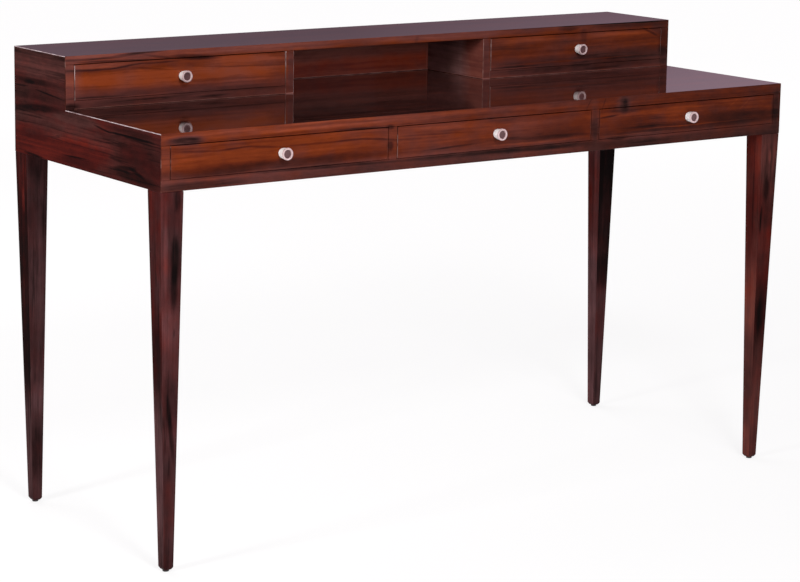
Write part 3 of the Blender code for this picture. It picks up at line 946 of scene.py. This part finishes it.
# %% Leg figure
LEG_FIGURE = {
    "front_left_front": (
        (648, -668, 30, 10, -24), (600, -676, 60, 24, -8), (545, -672, 52, 14, -32),
        (495, -674, 55, 10, -32), (560, -690, 100, 6, 16), (430, -679, 60, 30, 16),
        (420, -673, 10, 2, -24), (300, -678, 70, 24, -16), (250, -677.5, 80, 6, -24, -6.4),
        (200, -677.8, 50, 30, -8), (120, -677.8, 100, 40, -7), (10, -677.8, 60, 40, -16),
    ),
    "front_left_side": (
        (370, -234, 110, 30, -20), (140, -234, 230, 80, 13), (210, -234, 70, 80, 4),
        (20, -234, 90, 40, -12),
    ),
    "front_right_front": (
        (620, 678, 50, 40, 16), (617, 679, 36, 12, -10), (617, 679, 20, 6, 20), (552, 674, 34, 12, -26),
        (490, 664.5, 36, 2.8, -40), (500, 680, 50, 30, -6), (450, 678, 40, 40, 10),
        (300, 676.5, 100, 40, -16), (295, 676.5, 50, 14, -18), (100, 678, 110, 40, 17),
        (50, 678, 30, 40, -10),
    ),
    "front_right_side": (
        (625, -240, 70, 20, 16), (500, -234, 70, 40, -8), (550, -236, 150, 3, -16),
        (330, -234, 110, 30, 30), (155, -234, 60, 30, -8), (30, -234, 60, 30, 18),
    ),
    "back_left_front": (
        (640, -678, 40, 30, -12), (545, -678, 50, 30, -8), (300, -678, 60, 30, -6),
        (200, -678, 40, 20, 12), (100, -678, 80, 30, -18),
    ),
    "back_left_side": (
        (635, 251.5, 80, 40, 22), (574, 247, 34, 7, 30), (400, 251.5, 40, 40, 10),
        (280, 251.5, 80, 40, -6), (90, 251.5, 175, 80, 27),
    ),
    "back_right_front": ((460, 680, 220, 60, -28), (570, 680, 140, 60, -25), (300, 680, 50, 60, -18)),
    "back_right_side": (
        (645, 251.5, 30, 60, -10), (560, 245, 160, 6, 10), (500, 254, 160, 4, -10),
        (350, 251.5, 40, 40, 10), (250, 251.5, 40, 40, -8), (120, 251.5, 90, 30, -12),
        (140, 251.5, 280, 60, 9),
    ),
}
print("figure for", len(LEG_FIGURE), "faces of the legs")

# %% [markdown]
# Near the floor the lacquer of the legs looks hazy and grey, because it catches light from the floor below
# and mirrors it. That sheen is painted into the wood's colour: a leg goes from crimson to a grey sheen row,
# by a haze that grows towards the foot. The two faces of a leg differ in tone, in haze and in how much they
# mirror.

# %% Leg wood
# Haze marks by height. The haze that grows towards the foot is a painted sheen of the floor.
LEG_HAZE_AND_SHEEN = {
    "front_left_side": ((400, 0, 120, 9000, -20), (60, 0, 340, 9000, 95)),
    "front_right_front": ((630, 0, 140, 9000, 60), (80, 0, 210, 9000, 55)),
    "front_right_side": ((100, 0, 450, 9000, 85),),
    "back_left_side": ((100, 0, 180, 9000, 140),),
    "back_right_front": ((640, 0, 60, 9000, -25), (50, 0, 160, 9000, 35)),
    "back_right_side": ((80, 0, 400, 9000, 70),),
}
# The tone and the smoke of each face.
LEG_TONES = {
    "front_left_front": (0.45, 0.6),
    "front_left_side": (0.38, 0.32),
    "front_right_front": (0.4, 0.35),
    "front_right_side": (0.48, 0.25),
    "back_left_front": (0.38, 0.82),
    "back_left_side": (0.08, 0.05),
    "back_right_front": (0.42, 0.55),
    "back_right_side": (0.52, 0.42),
}
# The grain and the refraction of each face.
LEG_GRAIN = {"front": ("along_z", 1.05), "side": ("up_side", 1.03)}
# The seed and the dull colours of each leg.
CORNERS = {
    "front_left": (21.0, FLOOR_SHEEN_COLOURS),
    "front_right": (25.0, SMOKY_COLOURS),
    "back_left": (29.0, FLOOR_SHEEN_COLOURS),
    "back_right": (33.0, FLOOR_SHEEN_COLOURS),
}


def leg_face(corner, face):
    """The wood for the front or the side of one leg."""
    part = f"{corner}_{face}"
    tone, smoke = LEG_TONES[part]
    grain, refraction = LEG_GRAIN[face]
    seed, dull = CORNERS[corner]
    return rosewood(
        f"leg_{part}",
        grain,
        tone,
        smoke,
        LEG_FIGURE[part],
        LEG_HAZE_AND_SHEEN.get(part, ()),
        seed=seed,
        sway=0.008,
        rich=CRIMSON_COLOURS,
        dull=dull,
        black=0.15,
        contrast=0.65,
        refraction=refraction,
    )


leg_wood = {corner: [leg_face(corner, face) for face in LEG_GRAIN] for corner in CORNERS}
print("wood for", ", ".join(leg_wood))

# %% [markdown]
# A leg is a square that grows from a thin foot to a thick top, which is a cone with four sides and a
# different radius at each end. Turned by an eighth of a circle, its faces square up with the desk. The
# sole is extruded and shrunk to give the chamfered end above the glide, and the edges are rounded.

# %% Legs
LEG_TOP_SIDE = 0.0445
LEG_FOOT_SIDE = 0.0195
LEG_END_SIDE = 0.0124
FOOT_CHAMFER = 0.0053
LEG_ARRIS = 0.0012
SIDE_FACING = 0.75


def leg(corner):
    """A square leg that tapers on all four faces and ends in a chamfered foot."""
    low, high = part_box(f"leg_{corner}")
    middle = (low + high) / 2
    middle.z += FOOT_CHAMFER / 2
    shape = bmesh.new()
    bmesh.ops.create_cone(
        shape,
        cap_ends=True,
        segments=4,
        radius1=LEG_FOOT_SIDE / math.sqrt(2),
        radius2=LEG_TOP_SIDE / math.sqrt(2),
        depth=high.z - low.z - FOOT_CHAMFER,
    )
    turn = Matrix.Rotation(math.pi / 4, 3, "Z")
    bmesh.ops.rotate(shape, cent=(0.0, 0.0, 0.0), matrix=turn, verts=shape.verts)
    sole = min(shape.faces, key=lambda face: face.calc_center_median().z)
    grown = bmesh.ops.extrude_face_region(shape, geom=[sole])
    end = [part for part in grown["geom"] if isinstance(part, bmesh.types.BMVert)]
    bmesh.ops.delete(shape, geom=[sole], context="FACES_ONLY")
    shrink = LEG_END_SIDE / LEG_FOOT_SIDE
    bmesh.ops.scale(shape, vec=(shrink, shrink, 1.0), verts=end)
    bmesh.ops.translate(shape, vec=(0.0, 0.0, -FOOT_CHAMFER), verts=end)
    bmesh.ops.translate(shape, vec=middle, verts=shape.verts)
    round_edges(shape, (0, 1, 2), LEG_ARRIS)
    shape.normal_update()
    for face in shape.faces:
        face.material_index = int(abs(face.normal.x) > SIDE_FACING)
    finished(shape, f"{corner}_leg", f"leg_{corner}", leg_wood[corner])
    print("leg", corner, round(high.z - low.z, 3), "m long")


for corner in CORNERS:
    leg(corner)

# %% [markdown]
# Under each foot is a small black plastic glide on a nail. Moulded plastic is never a flat black: a fine
# grain dulls it and greys it a little. The bolts that hold the legs are plain zinc. The CAD pieces already
# have the right shapes, so they only take new finishes.

# %% Glides and bolts
GRAIN_ENDS = (0.3, 0.7)
ROUGH_SPREAD = (0.8, 1.25)
SURFACE_RELIEF = 0.1


def grained(name, dark, light, scale, rough, metallic=0.0):
    """A fine-grained finish between two colours, with a slightly uneven surface."""
    material, tree, shader = new_finish(name)
    shader.inputs["Metallic"].default_value = metallic
    grain = even_noise(tree, scale, detail=4.0)
    colours = tuple(zip(GRAIN_ENDS, (dark, light)))
    tree.links.new(colour_row(tree, grain, colours), shader.inputs["Base Color"])
    spread = remap(tree, grain, new=[rough * share for share in ROUGH_SPREAD])
    tree.links.new(spread, shader.inputs["Roughness"])
    fine_relief(tree, shader, grain, SURFACE_RELIEF)
    return material


def refinish(node, finish):
    """Gives a CAD piece that keeps its shape a new finish."""
    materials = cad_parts[node].data.materials
    materials.clear()
    materials.append(finish)


black_plastic = grained(
    "black_plastic", (0.012, 0.011, 0.011), (0.035, 0.033, 0.033), scale=900.0, rough=0.45
)
zinc_steel = grained(
    "zinc_steel", (0.33, 0.33, 0.34), (0.52, 0.52, 0.53), scale=400.0, rough=0.35, metallic=1.0
)
for corner in CORNERS:
    refinish(f"glide_{corner}", black_plastic)
    refinish(f"leg_bolt_{corner}", zinc_steel)
print("glides and bolts finished")

# %% [markdown]
# A drawer has a veneered front and a pale wooden box behind it. The front is one board with a painted
# highlight along the rounded edges of its two ends. The box shows only when the drawer is open, and keeps
# the CAD boards with a satin lining finish.

# %% Drawers
DRAWERS = ("left_drawer", "middle_drawer", "right_drawer", "hutch_left_drawer", "hutch_right_drawer")
LINING_SWAY = 0.02
BAND_SHARE = 0.7
FIBRE_SHARE = 0.3
LINING_ROUGHNESS = (0.35, 0.55)
LINING_COLOURS = (
    (0.0, (0.26, 0.15, 0.075)),
    (0.5, (0.42, 0.27, 0.15)),
    (1.0, (0.55, 0.38, 0.22)),
)
REVEAL_CLOSED = Vector((0.0004, 0.0, 0.0008))


def lining_wood(name, grain, seed):
    """Satin, pale wood for the inside of a drawer."""
    material, tree, shader = new_finish(name)
    place = wander(tree, grain_place(tree, grain), seed, LINING_SWAY)
    bands = stretched(tree, place, along=1.2, across=60.0, seed=seed)
    fibres = stretched(tree, place, along=9.0, across=900.0, seed=seed + 2.0, detail=2.0)
    broad = sums(tree, "MULTIPLY", bands, BAND_SHARE)
    fine = sums(tree, "MULTIPLY", fibres, FIBRE_SHARE)
    level = sums(tree, "ADD", broad, fine)
    tree.links.new(colour_row(tree, level, LINING_COLOURS), shader.inputs["Base Color"])
    rub = remap(tree, fibres, new=LINING_ROUGHNESS)
    tree.links.new(rub, shader.inputs["Roughness"])
    fine_relief(tree, shader, fibres, SURFACE_RELIEF)
    return material


def drawer_front(drawer):
    """The veneered front of a drawer. Its lower gap is kept finer than its upper one."""
    node = f"{drawer}_front"
    low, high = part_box(node)
    low -= REVEAL_CLOSED
    high.x += REVEAL_CLOSED.x
    shape = blank(low, high)
    round_edges(shape, (0, 2))
    paint_board(shape, upright=1)
    finishes = [hutch_veneer, edge_highlight_paint] if drawer.startswith("hutch") else [case_veneer, faint_highlight_paint]
    finished(shape, f"{drawer}_face", node, finishes, body=drawer)


lining_long = lining_wood("drawer_lining_long", "along_y", 41.0)
lining_wide = lining_wood("drawer_lining_wide", "along_x", 47.0)
for drawer in DRAWERS:
    drawer_front(drawer)
    for board in ("side_left", "side_right"):
        refinish(f"{drawer}_{board}", lining_long)
    for board in ("back", "bottom"):
        refinish(f"{drawer}_{board}", lining_wide)
print(len(DRAWERS), "drawers")

# %% [markdown]
# The knobs are turned from nickel: a screw behind, a short cone that widens to the front, a rounded rim and
# a dark dish. The metal is so bright in the photograph that the cone looks white, so its shine is painted in
# as a near-white satin colour: a painted highlight. Turning on a lathe is Spin in Blender. Points of half
# the outline are joined by edges and spun once round the axis, with the last step merged into the first.

# %% Knobs
KNOB_STEPS = 64
DISH_RADIUS = 0.0072
DISH_FLOOR = 0.0140
RIM_BACK = 0.0150
MERGE_DISTANCE = 0.00001


def knob_outline():
    """Half outline of a knob, from the middle of its dish to its screw: (radius, height over the drawer)."""
    dish = [(0.0, 0.0149), (0.0060, 0.0147), (DISH_RADIUS, 0.0151), (0.0075, 0.0168), (0.0079, 0.0173)]
    rim = [(0.0088, 0.0175), (0.0100, 0.0173), (0.0106, 0.0168), (0.0108, 0.0160), (0.0107, 0.0150)]
    cone = [(0.0105, 0.0135), (0.0098, 0.0090), (0.0091, 0.0040), (0.0088, 0.0015), (0.0084, 0.0003)]
    screw = [(0.0020, 0.0003), (0.0020, -0.0128), (0.0, -0.0128)]
    return dish + rim + cone + screw


def knob(drawer, finishes):
    """A turned knob on the middle of a drawer front."""
    node = f"{drawer}_knob"
    low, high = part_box(node)
    front_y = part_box(f"{drawer}_front")[0].y
    shape = bmesh.new()
    row = [shape.verts.new((radius, 0.0, height)) for radius, height in knob_outline()]
    edges = [shape.edges.new(pair) for pair in zip(row, row[1:])]
    bmesh.ops.spin(
        shape,
        geom=row + edges,
        cent=(0.0, 0.0, 0.0),
        axis=(0.0, 0.0, 1.0),
        angle=math.tau,
        steps=KNOB_STEPS,
        use_merge=True,
    )
    bmesh.ops.remove_doubles(shape, verts=shape.verts, dist=MERGE_DISTANCE)
    bmesh.ops.recalc_face_normals(shape, faces=shape.faces)
    for face in shape.faces:
        middle = face.calc_center_median()
        if middle.z > RIM_BACK:
            face.material_index = 1
        if middle.z > DISH_FLOOR and math.hypot(middle.x, middle.y) < DISH_RADIUS:
            face.material_index = 2
    turn = Matrix.Rotation(math.pi / 2, 3, "X")
    bmesh.ops.rotate(shape, cent=(0.0, 0.0, 0.0), matrix=turn, verts=shape.verts)
    middle = Vector(((low.x + high.x) / 2, front_y, (low.z + high.z) / 2))
    bmesh.ops.translate(shape, vec=middle, verts=shape.verts)
    finished(shape, f"{drawer}_turned_knob", node, finishes, body=drawer)


# Painted highlight: the near-white colour of the cone stands in for the shine of the nickel.
nickel_highlight_paint = grained("nickel_highlight_paint", (0.90, 0.87, 0.86), (0.97, 0.95, 0.94), scale=260.0, rough=0.3)
rim_nickel = grained(
    "rim_nickel", (0.54, 0.39, 0.39), (0.68, 0.52, 0.52), scale=260.0, rough=0.3, metallic=0.2
)
dish_enamel = grained("dish_enamel", (0.075, 0.033, 0.035), (0.125, 0.060, 0.062), scale=700.0, rough=0.5)
for drawer in DRAWERS:
    knob(drawer, [nickel_highlight_paint, rim_nickel, dish_enamel])
print(len(DRAWERS), "knobs of", KNOB_STEPS, "steps")
